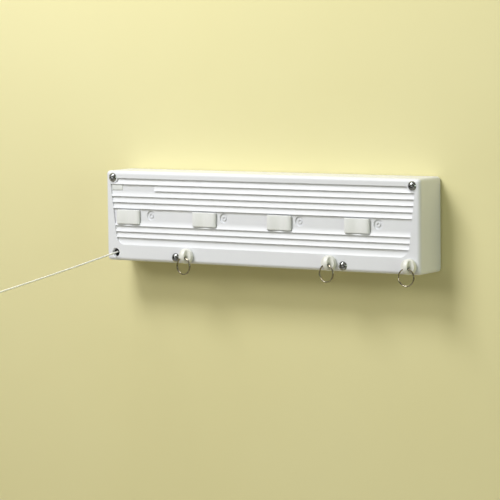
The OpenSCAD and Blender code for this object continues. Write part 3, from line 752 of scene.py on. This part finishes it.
class CLOTHESLINE_OT_lines(bpy.types.Operator):
    """Lines outside the case: the first drawn out and taut, the others up to their stoppers"""

    bl_idname = "clothesline.lines"
    bl_label = "Lines outside"

    def execute(self, context):
        s = context.scene.clothesline_sizes
        for i, unit in enumerate(UNITS):
            if unit == 1:
                path = spaced_path(route_path(), DRAWN_STEP)
            else:
                x = OUTLET_X[i]
                ends = [(x, OUTLET_UP, STUB_BACK), (x, OUTLET_UP, STUB_FRONT)]
                path = spaced_path(row(ends), STUB_STEP)
            shell = twisted_line(path, (1, 0, 0), s.line_radius, s.line_pitch, s.line_strands, s.line_groove)
            piece = new_piece(f"line_{unit}_drawn", shell, finish("line"))
            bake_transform(piece)
            stands_for(piece, f"line_{unit}_outside", None)
        return {"FINISHED"}


class CLOTHESLINE_OT_inner_lines(bpy.types.Operator):
    """Lines inside the case, from each reel round its roller, and what is wound on the reels"""

    bl_idname = "clothesline.inner_lines"
    bl_label = "Lines inside"

    def execute(self, context):
        s = context.scene.clothesline_sizes
        for i, unit in enumerate(UNITS):
            path = spaced_path(inside_path(i), INSIDE_STEP)
            across = guide_frame(i, 1.0, 0.0, 0.0) - guide_frame(i, 0.0, 0.0, 0.0)
            across /= np.linalg.norm(across)
            shell = twisted_line(path, across, s.line_radius, s.line_pitch, s.line_strands, s.line_groove)
            piece = new_piece(f"line_{unit}_guided", shell, finish("line"))
            stands_for(piece, f"line_{unit}_inside", "case")
            shell = wound_line_shell(i, s.line_radius / MM)
            piece = new_piece(f"line_{unit}_wound", shell, finish("line"))
            stands_for(piece, f"reel_{unit}_wound_line", f"reel_{unit}")
        return {"FINISHED"}


class CLOTHESLINE_OT_pads(bpy.types.Operator):
    """Thumb pads, dished from end to end, with their stems"""

    bl_idname = "clothesline.pads"
    bl_label = "Thumb pads"

    def execute(self, context):
        for unit in UNITS:
            node = f"lock_{unit}_thumb_pad"
            low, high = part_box(node)
            low, high = low / MM, high / MM
            middle_x, middle_z = (low.x + high.x) / 2, (low.z + high.z) / 2
            half_w, half_h = (high.x - low.x) / 2, (high.z - low.z) / 2
            front, back = -low.y, -low.y - PAD_T
            face = rounded_loft(
                half_w,
                half_h,
                lambda x: back + 0 * x,
                lambda x: front - pad_hollow(x, half_w),
                PAD_EDGE,
                stations=91,
            )
            stem = rounded_loft(
                STEM_HALF_W,
                STEM_HALF_H,
                lambda x: -high.y + 0 * x,
                lambda x: back + STEM_IN + 0 * x,
                STEM_EDGE,
                stations=21,
            )
            place = np.array([middle_x, middle_z, 0.0])
            shell = joined(capped(row(face + place)), capped(row(stem + place)))
            piece = new_piece(f"thumb_pad_{unit}", shell, finish("pad"))
            stands_for(piece, node, f"lock_{unit}")
        return {"FINISHED"}


class CLOTHESLINE_OT_screws(bpy.types.Operator):
    """Plated screws of the cover and the screws that keep the reels on their posts"""

    bl_idname = "clothesline.screws"
    bl_label = "Screws"

    def execute(self, context):
        low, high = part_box("cover_screws")
        low, high = low / MM, high / MM
        head_r, seat = COVER_HEAD_R, -low.y - COVER_HEAD_T
        shank = (COVER_SHANK_R, seat + high.y - TIP_ROOM, COVER_PITCH)
        top = [(low.x + head_r, high.z - head_r), (high.x - head_r, high.z - head_r)]
        bottom = [(-LOW_SCREW_X, low.z + head_r), (LOW_SCREW_X, low.z + head_r)]
        shells = [screw_shell(x, up, seat, head_r, COVER_HEAD_T, *shank) for x, up in top + bottom]
        piece = new_piece("cover_screw_set", joined(*shells), finish("chrome"), SCREW_CREASE)
        stands_for(piece, "cover_screws", "case")
        low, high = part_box("reel_screws")
        low, high = low / MM, high / MM
        seat = -low.y - REEL_HEAD_T
        shank = (REEL_SHANK_R, seat + high.y - TIP_ROOM, REEL_THREAD)
        shells = [screw_shell(x, 0.0, seat, REEL_HEAD_R, REEL_HEAD_T, *shank) for x in REEL_X]
        piece = new_piece("reel_screw_set", joined(*shells), finish("zinc"), SCREW_CREASE)
        stands_for(piece, "reel_screws", "case")
        return {"FINISHED"}


class CLOTHESLINE_OT_springs(bpy.types.Operator):
    """Flat springs that wind the lines back"""

    bl_idname = "clothesline.springs"
    bl_label = "Mainsprings"

    def execute(self, context):
        for i, unit in enumerate(UNITS):
            shell = mainspring_shell(i, *SPRING)
            piece = new_piece(f"flat_spring_{unit}", shell, finish("spring"), SPRING_CREASE)
            stands_for(piece, f"reel_{unit}_mainspring", "case")
        return {"FINISHED"}


class CLOTHESLINE_OT_label(bpy.types.Operator):
    """Blank plaque at the left of the second rib"""

    bl_idname = "clothesline.label"
    bl_label = "Blank plaque"

    def execute(self, context):
        low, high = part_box("blank_label")
        low, high = low / MM, high / MM
        half_w, half_h = (high.x - low.x) / 2, (high.z - low.z) / 2
        grid = rounded_loft(
            half_w, half_h, lambda x: -high.y + 0 * x, lambda x: -low.y + 0 * x, LABEL_EDGE, stations=41
        )
        grid = grid + np.array([(low.x + high.x) / 2, (low.z + high.z) / 2, 0.0])
        piece = new_piece("blank_plaque", capped(row(grid)), finish("label"))
        stands_for(piece, "blank_label", "case")
        return {"FINISHED"}


class CLOTHESLINE_OT_mouldings(bpy.types.Operator):
    """Finishes of the case, the reels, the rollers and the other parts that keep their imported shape"""

    bl_idname = "clothesline.mouldings"
    bl_label = "Mouldings and metal parts"

    def execute(self, context):
        kinds = {
            "case": ["front_cover", "back_plate"],
            "reel": [f"reel_{u}_spool" for u in UNITS] + [f"guide_{u}_roller" for u in UNITS],
            "inner": [f"reel_{u}_spring_cover" for u in UNITS] + [f"lock_{u}_brake_slide" for u in UNITS],
            "zinc": ["reel_washers", "guide_pins"],
        }
        for key, nodes in kinds.items():
            for node in nodes:
                data = NODES[node].data
                data.materials.clear()
                data.materials.append(finish(key))
        return {"FINISHED"}


OPERATORS = (
    CLOTHESLINE_OT_studio,
    CLOTHESLINE_OT_stoppers,
    CLOTHESLINE_OT_rings,
    CLOTHESLINE_OT_lines,
    CLOTHESLINE_OT_inner_lines,
    CLOTHESLINE_OT_pads,
    CLOTHESLINE_OT_screws,
    CLOTHESLINE_OT_springs,
    CLOTHESLINE_OT_label,
    CLOTHESLINE_OT_mouldings,
)


class CLOTHESLINE_PT_pieces(bpy.types.Panel):
    """Lists the settings and the pieces in the sidebar"""

    bl_idname = "CLOTHESLINE_PT_pieces"
    bl_label = "Clothesline"
    bl_space_type = "VIEW_3D"
    bl_region_type = "UI"
    bl_category = "Clothesline"

    def draw(self, context):
        for group in (
            context.scene.clothesline_finish,
            context.scene.clothesline_sizes,
            context.scene.clothesline_studio,
        ):
            column = self.layout.column(align=True)
            for name in group.__annotations__:
                column.prop(group, name)
        for operator in OPERATORS:
            self.layout.operator(operator.bl_idname)


CLASSES = (ClotheslineFinish, ClotheslineSizes, ClotheslineStudio, *OPERATORS, CLOTHESLINE_PT_pieces)


def register():
    for cls in CLASSES:
        bpy.utils.register_class(cls)
    bpy.types.Scene.clothesline_finish = PointerProperty(type=ClotheslineFinish)
    bpy.types.Scene.clothesline_sizes = PointerProperty(type=ClotheslineSizes)
    bpy.types.Scene.clothesline_studio = PointerProperty(type=ClotheslineStudio)


def unregister():
    del bpy.types.Scene.clothesline_studio
    del bpy.types.Scene.clothesline_sizes
    del bpy.types.Scene.clothesline_finish
    for cls in reversed(CLASSES):
        bpy.utils.unregister_class(cls)


def main():
    """Registers the add-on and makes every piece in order."""
    register()
    for operator in OPERATORS:
        result = getattr(bpy.ops.clothesline, operator.bl_idname.split(".")[1])()
        if result != {"FINISHED"}:
            raise RuntimeError(f"{operator.bl_label} did not finish: {result}")


if __name__ == "__main__":
    main()
